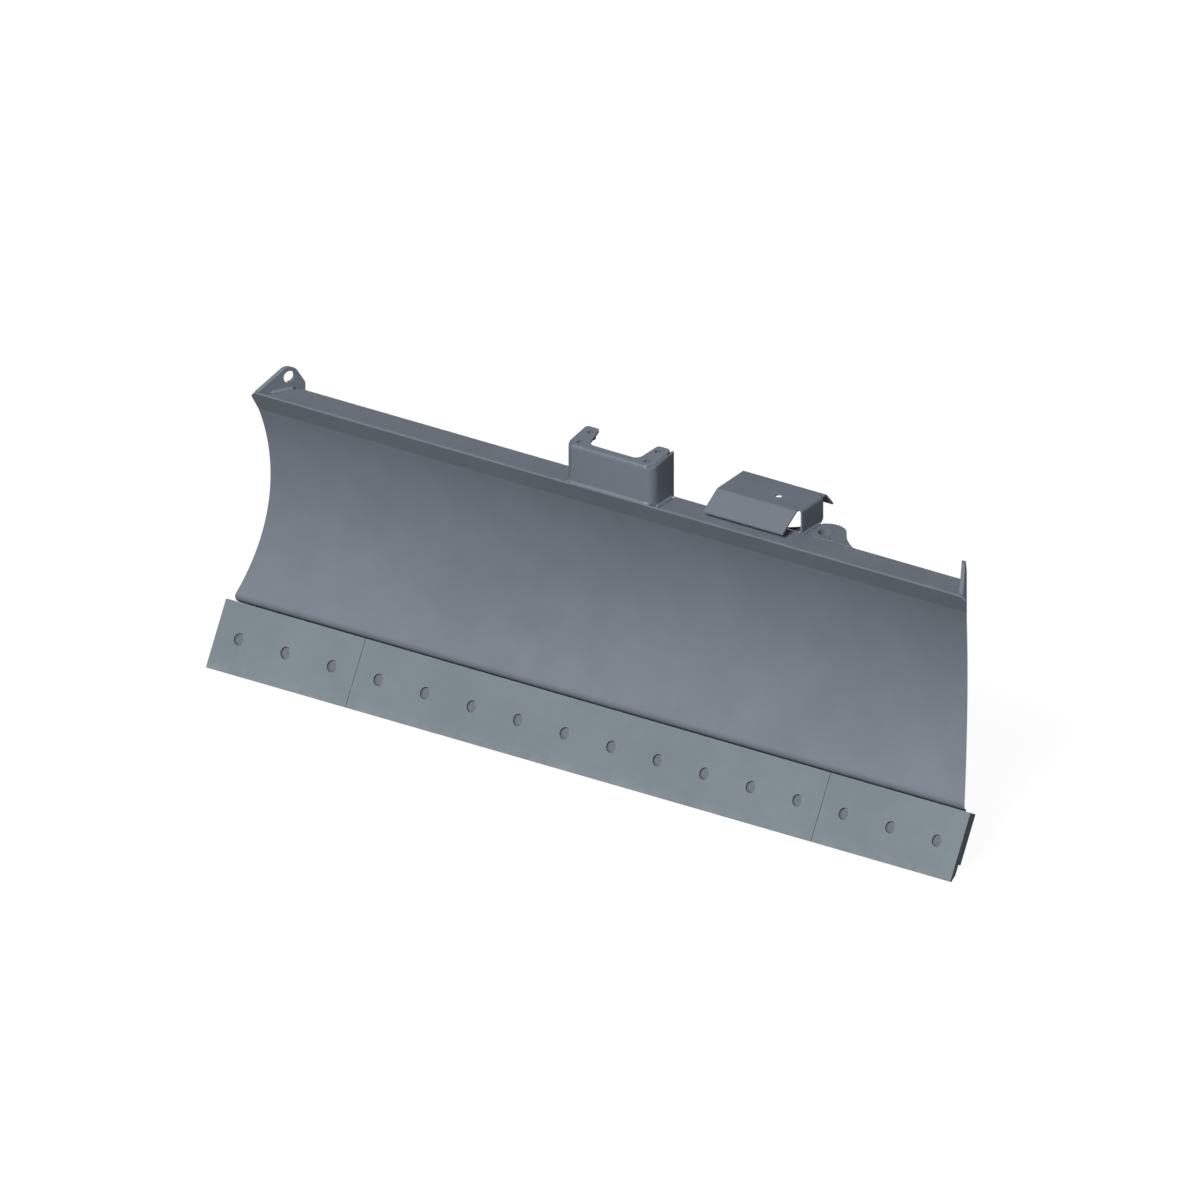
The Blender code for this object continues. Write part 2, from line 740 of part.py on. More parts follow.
def make_pivot(paint, bronze, steel, blade):
    axis = Vector((0.0, 1.0, 0.0))
    origin = Vector((0.0, 0.0, PIVOT_Z))
    inner_half = CENTER_RIB_X - RIB_THICKNESS / 2.0 - GAP
    front = PIVOT_TUBE_FRONT + PIVOT_FRONT_INSET
    plate_with_bore("pivot_front_plate", inner_half, front, PIVOT_FRONT_PLATE, paint, blade)
    rear = CENTER_RIB_REAR + GAP
    plate_with_bore("pivot_rear_plate", PIVOT_REAR_HALF, rear, PIVOT_REAR_PLATE, paint, blade)
    tube = [
        (PIVOT_TUBE_BORE, PIVOT_TUBE_FRONT),
        (PIVOT_TUBE_RADIUS, PIVOT_TUBE_FRONT),
        (PIVOT_TUBE_RADIUS, PIVOT_TUBE_REAR),
        (PIVOT_TUBE_BORE, PIVOT_TUBE_REAR),
    ]
    mesh = turned(tube, origin, axis, 2 * ROUND)
    add("pivot_tube", mesh, paint, blade, smooth=35.0)
    collar = PIVOT_TUBE_REAR + GAP
    bush = [
        (PIVOT_BUSH_BORE, PIVOT_TUBE_FRONT),
        (PIVOT_BUSH_RADIUS - GAP, PIVOT_TUBE_FRONT),
        (PIVOT_BUSH_RADIUS - GAP, collar),
        (PIVOT_COLLAR_RADIUS, collar),
        (PIVOT_COLLAR_RADIUS, collar + PIVOT_COLLAR),
        (PIVOT_BUSH_BORE, collar + PIVOT_COLLAR),
    ]
    mesh = turned(bush, origin, axis, 2 * ROUND)
    add("pivot_bushing", mesh, bronze, blade, smooth=35.0)
    base = PIVOT_TUBE_RADIUS + GAP
    fitting = [(radius, base + height) for radius, height in GREASE_PROFILE]
    fitting = [(0.0, fitting[0][1])] + fitting + [(0.0, fitting[-1][1])]
    spot = Vector((0.0, GREASE_Y, PIVOT_Z))
    mesh = turned(fitting, spot, Vector((0.0, 0.0, 1.0)), SMALL_ROUND)
    add("grease_fitting", mesh, steel, blade, smooth=35.0)


# ------------------------------------------------------------------ mast bracket
def make_bracket(paint, steel, blade):
    corners = [
        (BRACKET_HALF, BRACKET_REAR),
        (BRACKET_HALF, BRACKET_FRONT),
        (-BRACKET_HALF, BRACKET_FRONT),
        (-BRACKET_HALF, BRACKET_REAR),
    ]
    path = rounded_path(corners[::-1], BRACKET_BEND)
    outline = sheet_outline(path, BRACKET_WALL)
    wall = upright(outline, RAIL_TOP + GAP, BRACKET_TOP, BRACKET_SLOPE)
    item = add("mast_bracket_wall", wall, paint, blade, smooth=30.0)
    notch = [
        Vector((BRACKET_FRONT - CUTTER_REACH, RAIL_TOP - CUTTER_REACH)),
        Vector((BRACKET_NOTCH_REAR, RAIL_TOP - CUTTER_REACH)),
        Vector((BRACKET_NOTCH_REAR, BRACKET_NOTCH_TOP)),
        Vector((BRACKET_FRONT - CUTTER_REACH, BRACKET_NOTCH_TOP)),
    ]
    half = BRACKET_HALF + CUTTER_REACH
    combine(item, across(notch, -half, half), blade, "DIFFERENCE")
    make_bracket_plate(paint, steel, blade)


def bracket_plate_outline():
    """Forked plate, open to the rear; the right half is mirrored to the left."""
    outer = BRACKET_HALF - TOP_PLATE_INSET
    front = BRACKET_FRONT + TOP_PLATE_INSET + TOP_PLATE_SET_BACK
    rear = BRACKET_REAR - TOP_PLATE_INSET
    root_x, tip_x = FORK_ARM_X
    tip = FORK_TIP_RADIUS
    crotch = FORK_CROTCH_RADIUS
    quarter = math.pi / 2.0
    rounds = arc((outer - tip, rear - tip), tip, 0.0, quarter, BEND_STEPS)
    rounds += arc((tip_x + tip, rear - tip), tip, quarter, math.pi, BEND_STEPS)
    rounds += arc((root_x - crotch, FORK_CROTCH_Y + crotch), crotch, 0.0, -quarter, BEND_STEPS)
    half = [
        Vector((0.0, front)),
        Vector((outer - TOP_PLATE_CORNER, front)),
        Vector((outer, front + TOP_PLATE_CORNER)),
    ]
    half += [point for point, normal in rounds]
    half.append(Vector((0.0, FORK_CROTCH_Y)))
    mirrored = [Vector((-x, y)) for x, y in half[1:-1]]
    return half + mirrored[::-1]


def make_bracket_plate(paint, steel, blade):
    """Tilted plate with four holes, and a weld nut under each of them."""
    low = BRACKET_TOP + GAP
    high = low + TOP_PLATE
    plate = upright(bracket_plate_outline(), low, high, BRACKET_SLOPE, BRACKET_SLOPE)
    item = add("mast_bracket_plate", plate, paint, blade, smooth=25.0)
    tilt = math.atan(BRACKET_SLOPE)
    normal = Vector((0.0, -math.sin(tilt), math.cos(tilt)))
    side = Vector((1.0, 0.0, 0.0))
    holes = []
    for hand, x in (("left", -TOP_PLATE_HOLE_X), ("right", TOP_PLATE_HOLE_X)):
        for place, y in zip(("front", "rear"), TOP_PLATE_HOLES_Y):
            centre = Vector((x, y, low + BRACKET_SLOPE * (y - BRACKET_FRONT)))
            reach = normal * CUTTER_REACH / 2.0
            holes.append(rod(centre - reach, centre + reach, TOP_PLATE_HOLE_RADIUS))
            seat = centre - normal * GAP
            nut = hex_nut(seat, -normal, side, MAST_NUT_RADIUS, MAST_NUT_BORE, MAST_NUT_HEIGHT)
            add(f"mast_nut_{hand}_{place}", nut, steel, blade)
    combine(item, merge(holes), blade, "DIFFERENCE")


# ------------------------------------------------------------- lugs and the guard
def lug_outline():
    """Round nose about the pin, flaring out to the rear of the rail."""
    pin = Vector((LUG_X, LUG_Y))
    nose = [point for point, normal in arc(pin, LUG_NOSE, math.pi / 2.0, LUG_JOIN, LUG_STEPS)]
    spoke = Vector((math.cos(LUG_JOIN), math.sin(LUG_JOIN)))
    centre = pin + spoke * (LUG_NOSE + LUG_FLARE)
    start = LUG_JOIN + math.pi
    flare = arc(centre, LUG_FLARE, start, start + LUG_FLARE_TURN, LUG_STEPS)
    half = nose + [point for point, normal in flare[1:]]
    half.append(Vector((half[-1].x, RAIL_REAR + GAP)))
    mirrored = [Vector((2.0 * LUG_X - x, y)) for x, y in half[1:]]
    return half + mirrored[::-1]


def make_lugs(paint, blade):
    lower_top = LUG_TOP - LUG_THICKNESS - LUG_OPENING
    pin = Vector((LUG_X, LUG_Y, 0.0))
    small = Vector((LUG_SMALL_HOLE[0], LUG_SMALL_HOLE[1], 0.0))
    for name, top in (("cylinder_lug_upper", LUG_TOP), ("cylinder_lug_lower", lower_top)):
        plate = upright(lug_outline(), top - LUG_THICKNESS, top)
        item = add(name, plate, paint, blade, smooth=25.0)
        reach = Vector((0.0, 0.0, CUTTER_REACH))
        level = Vector((0.0, 0.0, top))
        tools = [rod(pin + level - reach, pin + level + reach, LUG_BORE)]
        if top == LUG_TOP:
            tools.append(rod(small + level - reach, small + level + reach, LUG_SMALL_RADIUS))
        combine(item, merge(tools), blade, "DIFFERENCE")


def guard_top(y):
    """Height of the guard's upper surface."""
    (front_y, front_z), (rear_y, rear_z) = GUARD_PROFILE[1:3]
    return front_z + (rear_z - front_z) * (y - front_y) / (rear_y - front_y)


def guard_rows():
    """(y, z) points over the guard, with stops where its side pieces begin and end."""
    front, bend = (Vector(point) for point in GUARD_PROFILE[:2])
    overlap = (front - bend).normalized() * 2.0 * GUARD_SHEET
    profile = [front + overlap, bend] + list(GUARD_PROFILE[2:])
    path = [point for point, normal in rounded_path(profile, GUARD_BEND)]
    stops = (GUARD_FOOT_FRONT, GUARD_FOOT_REAR, GUARD_FOOT_REAR + GUARD_RELIEF)
    path += [Vector((y, guard_top(y))) for y in stops]
    return sorted(path, key=lambda point: point.x), stops


def guard_side(mesh, corner):
    """Points round the side bend and down to the foot, starting at a top corner."""
    top = corner.co.z
    centre = Vector((corner.co.x, top - GUARD_BEND))
    bend = arc(centre, GUARD_BEND, math.pi / 2.0, 0.0, BEND_STEPS)
    points = [point for point, normal in bend[1:]]
    points.append(Vector((GUARD_RIGHT, LUG_TOP + GAP)))
    return [corner] + [mesh.verts.new((x, corner.co.y, z)) for x, z in points]


def guard_surface():
    """Upper skin of the guard: front flange, top, rear flange, side flange and tab."""
    rows, stops = guard_rows()
    inner_right = GUARD_RIGHT - GUARD_BEND
    mesh = bmesh.new()
    grid = []
    for y, z in rows:
        grid.append([mesh.verts.new((x, y, z)) for x in (GUARD_LEFT, inner_right)])
    tab = [row for row in grid if row[0].co.y > stops[2] - GAP]
    feet = [row for row in grid if min(abs(row[0].co.y - y) for y in stops[:2]) < GAP]
    sides = [guard_side(mesh, row[1]) for row in feet]
    tabs = [[row[1], mesh.verts.new((GUARD_RIGHT, row[1].co.y, row[1].co.z))] for row in tab]
    for strips in (grid, tabs, sides):
        for near, far in zip(strips, strips[1:]):
            for column in range(len(near) - 1):
                corners = (near[column], near[column + 1], far[column + 1], far[column])
                mesh.faces.new(corners)
    return mesh


def guard_front_trim():
    """Block that trims the front flange to an upright face."""
    front, height = GUARD_PROFILE[0]
    depth = CUTTER_REACH / 2.0
    outline = [
        Vector((front - depth, height - depth)),
        Vector((front, height - depth)),
        Vector((front, height + depth)),
        Vector((front - depth, height + depth)),
    ]
    return across(outline, GUARD_LEFT - CUTTER_REACH, GUARD_RIGHT + CUTTER_REACH)


def guard_foot_corner():
    """Wedge that clips the lower rear corner of the side flange."""
    foot = LUG_TOP + GAP
    outline = [
        Vector((GUARD_FOOT_REAR - GUARD_FOOT_CUT * 2.0, foot - GUARD_FOOT_CUT)),
        Vector((GUARD_FOOT_REAR + GUARD_FOOT_CUT, foot - GUARD_FOOT_CUT)),
        Vector((GUARD_FOOT_REAR + GUARD_FOOT_CUT, foot + GUARD_FOOT_CUT * 2.0)),
    ]
    return across(outline, GUARD_RIGHT - CUTTER_REACH, GUARD_RIGHT + CUTTER_REACH)


def make_guard(paint, blade):
    item = add("cylinder_guard", guard_surface(), paint, blade)
    thicken = item.modifiers.new("thickness", "SOLIDIFY")
    thicken.thickness = GUARD_SHEET
    thicken.offset = -1.0
    thicken.use_even_offset = True
    x, y = GUARD_HOLE
    level = guard_top(y)
    hole = rod((x, y, level - CUTTER_REACH), (x, y, level + CUTTER_REACH), GUARD_HOLE_RADIUS)
    cuts = merge([hole, guard_foot_corner(), guard_front_trim()])
    combine(item, cuts, blade, "DIFFERENCE")


# ------------------------------------------------------------------------- build
def main():
    clear_scene()
    paint = make_material("painted_steel", PAINT, 0.5, 0.1)
    edge_steel = make_material("edge_steel", EDGE_STEEL, 0.42, 0.6)
    fastener = make_material("fastener_steel", FASTENER, 0.4, 0.8)
    bronze = make_material("bronze", BRONZE, 0.35, 1.0)
    blade = bpy.data.objects.new("blade", None)
    bpy.context.collection.objects.link(blade)
    pivot_y = PIVOT_TUBE_REAR + GAP + PIVOT_COLLAR
    blade.location = (0.0, -pivot_y, -PIVOT_Z)
    make_face(paint, blade)
    make_edges(edge_steel, blade)
    make_base_bar(paint, blade)
    make_fasteners(fastener, blade)
    make_rail(paint, blade)
    make_end_plates(paint, blade)
    make_ribs(paint, blade)
    make_pivot(paint, bronze, fastener, blade)
    make_bracket(paint, fastener, blade)
    make_lugs(paint, blade)
    make_guard(paint, blade)


main()
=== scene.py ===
"""Looks of the plow blade: satin slate paint, scuffed cutting edges, plow bolts, weld beads.

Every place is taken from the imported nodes, in metres: +X along the blade to the
cylinder-lug end, +Y to the rear, +Z up. The curved face looks to -Y.
"""

import json
import math

import bmesh
import bpy
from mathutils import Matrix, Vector, noise
from mathutils.bvhtree import BVHTree


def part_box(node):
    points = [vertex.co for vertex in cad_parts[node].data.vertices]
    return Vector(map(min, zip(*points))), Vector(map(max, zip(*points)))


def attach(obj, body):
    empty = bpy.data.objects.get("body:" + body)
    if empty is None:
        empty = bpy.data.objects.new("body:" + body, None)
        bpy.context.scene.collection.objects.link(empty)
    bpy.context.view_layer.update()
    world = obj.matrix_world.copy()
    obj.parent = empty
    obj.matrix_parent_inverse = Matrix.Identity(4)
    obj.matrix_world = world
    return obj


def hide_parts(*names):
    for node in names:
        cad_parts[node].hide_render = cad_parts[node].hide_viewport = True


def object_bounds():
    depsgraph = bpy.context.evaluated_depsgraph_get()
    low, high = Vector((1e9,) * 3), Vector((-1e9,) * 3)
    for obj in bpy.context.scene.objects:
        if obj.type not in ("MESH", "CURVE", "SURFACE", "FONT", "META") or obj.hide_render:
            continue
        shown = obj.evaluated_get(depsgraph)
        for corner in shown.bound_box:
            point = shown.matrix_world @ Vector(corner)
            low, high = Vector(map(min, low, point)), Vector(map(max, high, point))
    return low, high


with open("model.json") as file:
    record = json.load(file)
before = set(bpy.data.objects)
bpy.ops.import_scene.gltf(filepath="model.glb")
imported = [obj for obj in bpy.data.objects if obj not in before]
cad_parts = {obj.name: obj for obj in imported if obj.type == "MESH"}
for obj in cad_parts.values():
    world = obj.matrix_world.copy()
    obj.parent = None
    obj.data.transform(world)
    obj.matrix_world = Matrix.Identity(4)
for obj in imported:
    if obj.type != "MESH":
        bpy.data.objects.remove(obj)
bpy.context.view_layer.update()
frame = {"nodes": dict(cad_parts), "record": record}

X = Vector((1.0, 0.0, 0.0))
Y = Vector((0.0, 1.0, 0.0))
Z = Vector((0.0, 0.0, 1.0))

# ------------------------------------------------------------------------ colours
PAINT = (0.150, 0.170, 0.202, 1.0)
PAINT_LIGHT = (0.167, 0.190, 0.226, 1.0)
EDGE = (0.162, 0.197, 0.217, 1.0)
EDGE_LIGHT = (0.188, 0.227, 0.250, 1.0)
RUBBED = (0.300, 0.325, 0.345, 1.0)
# near-black colour of the painted shade laid into corners and seams
PAINTED_SHADE = (0.030, 0.034, 0.038, 1.0)
ZINC = (0.150, 0.172, 0.190, 1.0)
ZINC_LIGHT = (0.200, 0.225, 0.245, 1.0)
BRONZE = (0.430, 0.300, 0.150, 1.0)
BRONZE_DARK = (0.260, 0.165, 0.080, 1.0)
FLOOR = (0.080, 0.081, 0.082, 1.0)
FLOOR_GLOW = 0.96

# ------------------------------------------------------------------- weld settings
WELD_LEG = 0.0055
RIPPLE = 0.0034                  # length of one ripple along a bead
RINGS_PER_RIPPLE = 3
RIPPLE_DEPTH = 0.10              # share of the leg
WELD_ROOT = 0.0008               # how far a bead reaches into its plates
BULGE = 0.16                     # crown of a bead, as a share of its leg


# ---------------------------------------------------------------------- materials
class Surface:
    """A Principled material and the few kinds of nodes that drive it."""

    def __init__(self, name):
        self.material = bpy.data.materials.new(name)
        self.material.use_nodes = True
        self.tree = self.material.node_tree
        self.shader = self.tree.nodes["Principled BSDF"]
        self.place = self.tree.nodes.new("ShaderNodeTexCoord").outputs["Object"]

    def link(self, source, target):
        self.tree.links.new(source, target)

    def stretched(self, scale):
        """Object coordinates scaled along each axis."""
        mapping = self.tree.nodes.new("ShaderNodeMapping")
        mapping.inputs["Scale"].default_value = scale
        self.link(self.place, mapping.inputs["Vector"])
        return mapping.outputs["Vector"]

    def noise(self, scale, detail=2.0, roughness=0.5, place=None):
        node = self.tree.nodes.new("ShaderNodeTexNoise")
        node.inputs["Scale"].default_value = scale
        node.inputs["Detail"].default_value = detail
        node.inputs["Roughness"].default_value = roughness
        self.link(place or self.place, node.inputs["Vector"])
        return node.outputs["Fac"]

    def ranged(self, value, low, high, out_low=0.0, out_high=1.0):
        """Maps low..high to out_low..out_high, held at both ends."""
        node = self.tree.nodes.new("ShaderNodeMapRange")
        for key, number in zip(("From Min", "From Max", "To Min", "To Max"),
                               (low, high, out_low, out_high)):
            node.inputs[key].default_value = number
        self.link(value, node.inputs["Value"])
        return node.outputs["Result"]

    def maths(self, operation, first, second):
        node = self.tree.nodes.new("ShaderNodeMath")
        node.operation = operation
        for socket, value in zip(node.inputs, (first, second)):
            if isinstance(value, (int, float)):
                socket.default_value = value
            else:
                self.link(value, socket)
        return node.outputs["Value"]

    def mixed(self, share, first, second):
        """Colour mixed from two colours or sockets by a share."""
        node = self.tree.nodes.new("ShaderNodeMix")
        node.data_type = "RGBA"
        self.link(share, node.inputs["Factor"])
        for socket, value in zip((node.inputs[6], node.inputs[7]), (first, second)):
            if isinstance(value, tuple):
                socket.default_value = value
            else:
                self.link(value, socket)
        return node.outputs[2]

    def edges(self, radius, sharpness=0.12):
        """1 where the surface turns over an edge, 0 on flat and smoothly curved parts."""
        rounded = self.tree.nodes.new("ShaderNodeBevel")
        rounded.samples = 6
        rounded.inputs["Radius"].default_value = radius
        geometry = self.tree.nodes.new("ShaderNodeNewGeometry")
        dot = self.tree.nodes.new("ShaderNodeVectorMath")
        dot.operation = "DOT_PRODUCT"
        self.link(rounded.outputs["Normal"], dot.inputs[0])
        self.link(geometry.outputs["Normal"], dot.inputs[1])
        return self.ranged(dot.outputs["Value"], 1.0, 1.0 - sharpness)

    def painted_corner_shade(self, distance):
        """Painted shade mask from ambient occlusion: 1 deep in a corner or a seam, 0 in the open.
        """
        node = self.tree.nodes.new("ShaderNodeAmbientOcclusion")
        node.samples = 6
        node.inputs["Distance"].default_value = distance
        return self.ranged(node.outputs["AO"], 0.62, 0.12)

    def bumps(self, layers):
        """Normal from (height, strength, distance) layers, the broadest first."""
        normal = None
        for height, strength, distance in layers:
            node = self.tree.nodes.new("ShaderNodeBump")
            node.inputs["Strength"].default_value = strength
            node.inputs["Distance"].default_value = distance
            self.link(height, node.inputs["Height"])
            if normal is not None:
                self.link(normal, node.inputs["Normal"])
            normal = node.outputs["Normal"]
        self.link(normal, self.shader.inputs["Normal"])

    def colour(self, socket):
        self.link(socket, self.shader.inputs["Base Color"])

    def roughness(self, socket):
        self.link(socket, self.shader.inputs["Roughness"])


def paint_material():
    """Satin paint over plate: cloudy tone, orange peel, rubbed edges, painted shade darkening its
    corners and seams.
    """
    look = Surface("painted_steel")
    cloud = look.ranged(look.noise(3.5, 4.0, 0.6), 0.35, 0.68)
    speck = look.ranged(look.noise(900.0, 2.0), 0.30, 0.75)
    tone = look.mixed(cloud, PAINT, PAINT_LIGHT)
    tone = look.mixed(look.maths("MULTIPLY", speck, 0.18), tone, PAINT_LIGHT)
    scuffs = look.ranged(look.noise(70.0, 5.0, 0.7), 0.47, 0.62)
    worn = look.maths("MULTIPLY", look.edges(0.0018), scuffs)
    tone = look.mixed(look.maths("MULTIPLY", worn, 0.55), tone, RUBBED)
    # painted shade: ambient occlusion darkens corners and seams towards near-black
    corner_shade = look.maths("MULTIPLY", look.painted_corner_shade(0.007), 0.75)
    look.colour(look.mixed(corner_shade, tone, PAINTED_SHADE))
    satin = look.ranged(look.noise(14.0, 4.0, 0.65), 0.3, 0.7, 0.44, 0.56)
    look.roughness(look.maths("SUBTRACT", satin, look.maths("MULTIPLY", worn, 0.12)))
    look.bumps([
        (look.noise(9.0, 2.0), 0.30, 0.0012),
        (look.noise(330.0, 2.0, 0.4), 0.16, 0.00035),
        (look.noise(1500.0, 2.0), 0.08, 0.00010),
    ])
    look.shader.inputs["Specular IOR Level"].default_value = 0.42
    return look.material


def edge_material():
    """Rolled high-carbon bar: mill grain along its length, scuffs, a rubbed lower rim."""
    look = Surface("edge_steel")
    cloud = look.ranged(look.noise(5.0, 5.0, 0.65), 0.35, 0.68)
    tone = look.mixed(cloud, EDGE, EDGE_LIGHT)
    grain = look.noise(1.0, 4.0, 0.6, look.stretched((14.0, 420.0, 420.0)))
    grain_share = look.maths("MULTIPLY", look.ranged(grain, 0.42, 0.72), 0.30)
    tone = look.mixed(grain_share, tone, EDGE_LIGHT)
    scratch = look.noise(1.0, 3.0, 0.5, look.stretched((160.0, 9.0, 9.0)))
    scratch_share = look.maths("MULTIPLY", look.ranged(scratch, 0.66, 0.78), 0.12)
    tone = look.mixed(scratch_share, tone, RUBBED)
    height = look.tree.nodes.new("ShaderNodeSeparateXYZ")
    look.link(look.place, height.inputs["Vector"])
    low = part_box("cutting_edge_center")[0].z
    rim = look.ranged(height.outputs["Z"], low + 0.022, low)
    patches = look.ranged(look.noise(38.0, 5.0, 0.7), 0.40, 0.64)
    rubbed = look.maths("MULTIPLY", look.maths("MULTIPLY", rim, patches), 0.35)
    tone = look.mixed(rubbed, tone, RUBBED)
    worn = look.maths("MULTIPLY", look.edges(0.0018), patches)
    tone = look.mixed(look.maths("MULTIPLY", worn, 0.6), tone, RUBBED)
    # painted shade: ambient occlusion darkens corners and seams towards near-black
    corner_shade = look.maths("MULTIPLY", look.painted_corner_shade(0.006), 0.80)
    look.colour(look.mixed(corner_shade, tone, PAINTED_SHADE))
    look.roughness(look.ranged(grain, 0.3, 0.8, 0.52, 0.42))
    look.shader.inputs["Metallic"].default_value = 0.15
    look.bumps([
        (look.noise(22.0, 3.0, 0.6), 0.25, 0.0008),
        (grain, 0.14, 0.00015),
        (look.noise(700.0, 3.0), 0.12, 0.00012),
    ])
    return look.material


def fastener_material():
    """Zinc-flake coated forging: mottled grey with a fine tooth."""
    look = Surface("fastener_steel")
    mottle = look.ranged(look.noise(260.0, 4.0, 0.6), 0.35, 0.68)
    tone = look.mixed(mottle, ZINC, ZINC_LIGHT)
    worn = look.maths("MULTIPLY", look.edges(0.0009), look.noise(300.0, 3.0))
    tone = look.mixed(look.maths("MULTIPLY", worn, 0.8), tone, RUBBED)
    # painted shade: ambient occlusion darkens corners and recesses towards near-black
    corner_shade = look.maths("MULTIPLY", look.painted_corner_shade(0.003), 0.7)
    look.colour(look.mixed(corner_shade, tone, PAINTED_SHADE))
    look.roughness(look.ranged(mottle, 0.0, 1.0, 0.50, 0.38))
    look.shader.inputs["Metallic"].default_value = 0.45
    look.bumps([
        (look.noise(180.0, 3.0), 0.30, 0.0005),
        (look.noise(1400.0, 2.0), 0.15, 0.00012),
    ])
    return look.material


def bronze_material():
    """Cast bronze bush, turned on its bore and faces."""
    look = Surface("bushing_bronze")
    patina = look.ranged(look.noise(60.0, 5.0, 0.65), 0.40, 0.66)
    tone = look.mixed(patina, BRONZE, BRONZE_DARK)
    worn = look.maths("MULTIPLY", look.edges(0.0012), 0.5)
    look.colour(look.mixed(worn, tone, (0.62, 0.47, 0.27, 1.0)))
    look.roughness(look.ranged(patina, 0.0, 1.0, 0.28, 0.46))
    look.shader.inputs["Metallic"].default_value = 1.0
    turning = look.tree.nodes.new("ShaderNodeTexWave")
    turning.wave_type = "RINGS"
    turning.rings_direction = "Y"
    turning.inputs["Scale"].default_value = 260.0
    turning.inputs["Distortion"].default_value = 0.4
    look.link(look.place, turning.inputs["Vector"])
    look.bumps([
        (look.noise(120.0, 3.0), 0.15, 0.0003),
        (turning.outputs["Fac"], 0.10, 0.00008),
    ])
    return look.material


def floor_material():
    """White sweep that glows, so that the blade's shadow on it stays faint."""
    look = Surface("studio_floor")
    tone = look.ranged(look.noise(1.2, 3.0), 0.3, 0.7, 0.0, 0.25)
    look.colour(look.mixed(tone, FLOOR, (0.085, 0.086, 0.087, 1.0)))
    look.shader.inputs["Roughness"].default_value = 0.9
    look.shader.inputs["Specular IOR Level"].default_value = 0.0
    look.shader.inputs["Emission Color"].default_value = (1.0, 1.0, 1.0, 1.0)
    look.shader.inputs["Emission Strength"].default_value = FLOOR_GLOW
    return look.material


MATERIALS = {
    "painted_steel": paint_material(),
    "edge_steel": edge_material(),
    "fastener_steel": fastener_material(),
    "bushing_bronze": bronze_material(),
}
SLOT_OF = {part["node"]: part["material_slot"] for part in frame["record"]["subparts"]}


# ---------------------------------------------------------------- carried-over nodes
def smooth_by_angle(limit):
    """Node group that shades a mesh smooth, but for edges sharper than the limit."""
    name = f"smooth_by_angle_{limit:g}"
    if name in bpy.data.node_groups:
        return bpy.data.node_groups[name]
    group = bpy.data.node_groups.new(name, "GeometryNodeTree")
    group.interface.new_socket("Geometry", in_out="INPUT", socket_type="NodeSocketGeometry")
    group.interface.new_socket("Geometry", in_out="OUTPUT", socket_type="NodeSocketGeometry")
    start = group.nodes.new("NodeGroupInput")
    end = group.nodes.new("NodeGroupOutput")
    angle = group.nodes.new("GeometryNodeInputMeshEdgeAngle")
    compare = group.nodes.new("FunctionNodeCompare")
    compare.operation = "GREATER_THAN"
    compare.inputs["B"].default_value = math.radians(limit)
    faces = group.nodes.new("GeometryNodeSetShadeSmooth")
    sharp = group.nodes.new("GeometryNodeSetShadeSmooth")
    sharp.domain = "EDGE"
    sharp.inputs["Shade Smooth"].default_value = False
    group.links.new(angle.outputs["Unsigned Angle"], compare.inputs["A"])
    group.links.new(start.outputs[0], faces.inputs["Geometry"])
    group.links.new(faces.outputs["Geometry"], sharp.inputs["Geometry"])
    group.links.new(compare.outputs["Result"], sharp.inputs["Selection"])
    group.links.new(sharp.outputs["Geometry"], end.inputs[0])
    return group


def dress(name, width, limit=28.0, crease=28.0):
    """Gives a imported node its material, rounded arrises and smooth curved faces."""
    item = frame["nodes"][name]
    item.data.materials.clear()
    item.data.materials.append(MATERIALS[SLOT_OF[name]])
    spare = item.data.attributes.get("custom_normal")
    if spare is not None:
        item.data.attributes.remove(spare)
    item.data.shade_smooth()
    weld = item.modifiers.new("weld", "WELD")
    weld.merge_threshold = 0.00001
    flat = item.modifiers.new("flat", "DECIMATE")
    flat.decimate_type = "DISSOLVE"
    flat.angle_limit = math.radians(0.2)
    smooth = item.modifiers.new("smooth", "NODES")
    smooth.node_group = smooth_by_angle(crease)
    bevel = item.modifiers.new("bevel", "BEVEL")
    bevel.width = width
    bevel.segments = 2
    bevel.limit_method = "ANGLE"
    bevel.angle_limit = math.radians(limit)
    bevel.use_clamp_overlap = True
    bevel.harden_normals = True
    return item


# -------------------------------------------------------------------- mesh building
def new_piece(name, mesh, slot, smooth=None):
    """Turns a bmesh into a shown piece on the blade's only body."""
    bmesh.ops.recalc_face_normals(mesh, faces=mesh.faces)
    data = bpy.data.meshes.new(name)
    mesh.to_mesh(data)
    mesh.free()
    data.materials.append(MATERIALS[slot])
    if smooth is not None:
        data.shade_smooth()
        data.set_sharp_from_angle(angle=math.radians(smooth))
    item = bpy.data.objects.new(name, data)
    bpy.context.scene.collection.objects.link(item)
    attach(item, "root")
    return item


def join_rings(mesh, rings, closed=True):
    """Skins a run of rings with quads and closes both ends unless the run is a loop."""
    count = len(rings[0])
    pairs = list(zip(rings, rings[1:]))
    if not closed:
        pairs.append((rings[-1], rings[0]))
    for one, two in pairs:
        for step in range(count):
            following = (step + 1) % count
            mesh.faces.new((one[step], one[following], two[following], two[step]))
    if closed:
        mesh.faces.new(rings[0][::-1])
        mesh.faces.new(rings[-1])


# ----------------------------------------------------------------------- weld beads
def bead_section(leg):
    """Convex fillet section: (along the first plate, along the second plate)."""
    points = [(-WELD_ROOT, -WELD_ROOT), (leg, -WELD_ROOT)]
    steps = 5
    for step in range(steps + 1):
        share = step / steps
        crown = 1.0 + BULGE * math.sin(math.pi * share)
        angle = share * math.pi / 2.0
        flat = Vector((leg * (1.0 - share), leg * share))
        arc = Vector((leg * math.cos(angle), leg * math.sin(angle)))
        points.append(tuple((flat * 0.55 + arc * 0.45) * crown))
    points.append((-WELD_ROOT, leg))
    return points


